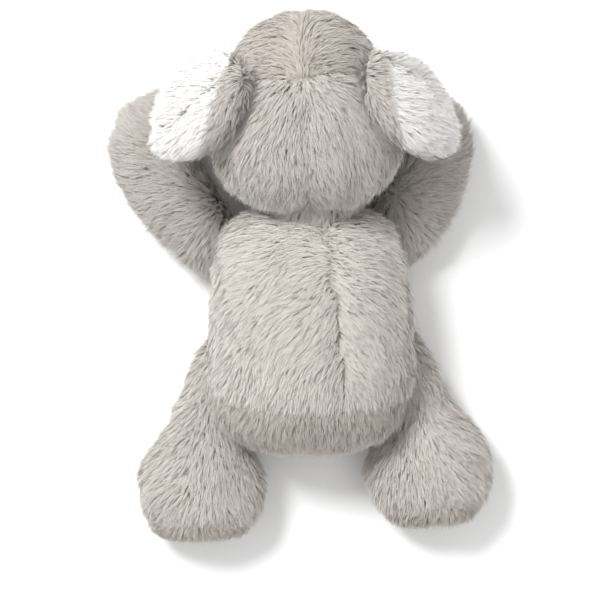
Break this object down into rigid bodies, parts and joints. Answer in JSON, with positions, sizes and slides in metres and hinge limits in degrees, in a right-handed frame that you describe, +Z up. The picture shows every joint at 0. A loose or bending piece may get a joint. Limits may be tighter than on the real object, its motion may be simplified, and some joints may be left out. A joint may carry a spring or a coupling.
{
  "type": "stuffed elephant",
  "caption": "Grey plush elephant lying on its belly with raised bent arms, spread legs, folded white-lined ears and a trunk tucked under the head.",
  "frame": {"origin": "middle of the flat patch of belly that the toy rests on", "axes": "+Z up from the belly to the back, +Y from the seat to the crown, the toy's left is -X"},
  "size_m": [0.2063, 0.2839, 0.1123],
  "materials": {
    "plush": "long soft pile",
    "plush_shade": "long soft pile",
    "lining": "long soft pile",
    "stuffing": "loose polyester fibre",
    "eye": "polished",
    "washer": "moulded"
  },
  "bodies": {
    "torso": {"back_left_panel": "plush", "back_right_panel": "plush", "belly_panel": "plush", "seat_panel": "plush_shade", "torso_stuffing": "stuffing", "neck_stuffing": "stuffing"},
    "head": {"head_back_left_panel": "plush", "head_back_right_panel": "plush", "forehead_panel": "plush_shade", "face_left_panel": "plush", "face_right_panel": "plush", "head_stuffing": "stuffing", "eye_left": "eye", "eye_right": "eye", "eye_washer_left": "washer", "eye_washer_right": "washer"},
    "trunk": {"trunk_upper_panel": "plush", "trunk_under_panel": "plush", "trunk_tip_panel": "plush_shade", "trunk_stuffing": "stuffing"},
    "ear_left": {"ear_left_back": "plush", "ear_left_lining": "lining"},
    "ear_right": {"ear_right_back": "plush", "ear_right_lining": "lining"},
    "arm_left": {"arm_left_outer_panel": "plush", "arm_left_inner_panel": "plush", "arm_left_stuffing": "stuffing"},
    "arm_right": {"arm_right_outer_panel": "plush", "arm_right_inner_panel": "plush", "arm_right_stuffing": "stuffing"},
    "leg_left": {"leg_left_outer_panel": "plush", "leg_left_inner_panel": "plush", "sole_left": "plush_shade", "leg_left_stuffing": "stuffing"},
    "leg_right": {"leg_right_outer_panel": "plush", "leg_right_inner_panel": "plush", "sole_right": "plush_shade", "leg_right_stuffing": "stuffing"}
  },
  "joints": [
    {"name": "neck_nod", "type": "hinge", "parent": "torso", "child": "head", "pos_m": [0, 0.0665, 0.0505], "axis": [1, 0, 0], "range_deg": [-8, 10], "stiffness_Nm_per_rad": 0.5},
    {"name": "trunk_swing", "type": "hinge", "parent": "head", "child": "trunk", "pos_m": [-0.0033, 0.1304, 0.0165], "axis": [1, 0, 0], "range_deg": [0, 75], "stiffness_Nm_per_rad": 0.02},
    {"name": "ear_left_flap", "type": "hinge", "parent": "head", "child": "ear_left", "pos_m": [-0.033, 0.127, 0.101], "axis": [0, 1, 0], "range_deg": [-10, 20], "stiffness_Nm_per_rad": 0.04},
    {"name": "ear_right_flap", "type": "hinge", "parent": "head", "child": "ear_right", "pos_m": [0.027, 0.127, 0.101], "axis": [0, -1, 0], "range_deg": [-10, 20], "stiffness_Nm_per_rad": 0.04},
    {"name": "arm_left_shoulder", "type": "hinge", "parent": "torso", "child": "arm_left", "pos_m": [-0.0518, 0.047, 0.0158], "axis": [0, 0, 1], "range_deg": [0, 85], "stiffness_Nm_per_rad": 0.08},
    {"name": "arm_right_shoulder", "type": "hinge", "parent": "torso", "child": "arm_right", "pos_m": [0.0486, 0.0555, 0.0159], "axis": [0, 0, -1], "range_deg": [0, 85], "stiffness_Nm_per_rad": 0.08},
    {"name": "leg_left_hip", "type": "hinge", "parent": "torso", "child": "leg_left", "pos_m": [-0.0484, -0.0207, 0.015], "axis": [1, 0, 0], "range_deg": [0, 90], "stiffness_Nm_per_rad": 0.08},
    {"name": "leg_right_hip", "type": "hinge", "parent": "torso", "child": "leg_right", "pos_m": [0.049, -0.0155, 0.015], "axis": [1, 0, 0], "range_deg": [0, 90], "stiffness_Nm_per_rad": 0.08}
  ]
}
